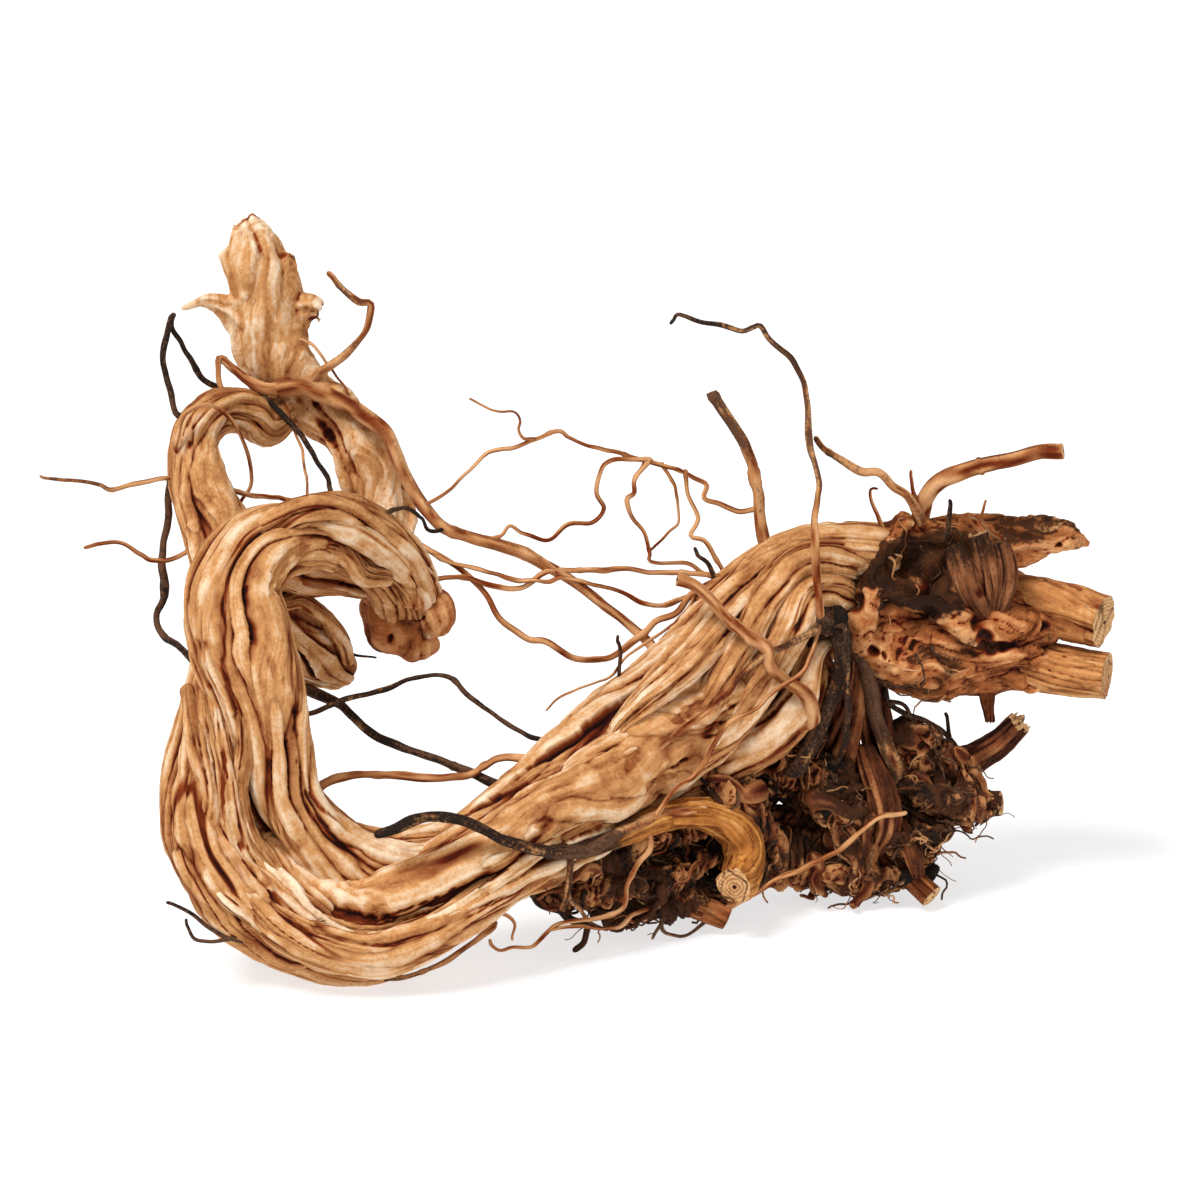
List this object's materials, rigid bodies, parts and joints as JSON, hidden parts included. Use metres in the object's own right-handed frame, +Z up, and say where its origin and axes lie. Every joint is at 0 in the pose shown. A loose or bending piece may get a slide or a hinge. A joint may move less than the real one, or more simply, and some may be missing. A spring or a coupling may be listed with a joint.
{
  "type": "dry root",
  "caption": "Bark-free dry root: a knotted crown, twisted stems that bend, hook and coil, cut stubs and thin rootlets.",
  "frame": {"origin": "middle of the root's bounding box at the level of the surface that it rests on", "axes": "+X along the root's length towards the crown, +Y to the back, +Z up"},
  "size_m": [0.5476, 0.2258, 0.3498],
  "materials": {
    "dry_wood": "weathered bare wood, matt"
  },
  "bodies": {
    "root": {"dry_root": "dry_wood"}
  },
  "joints": []
}
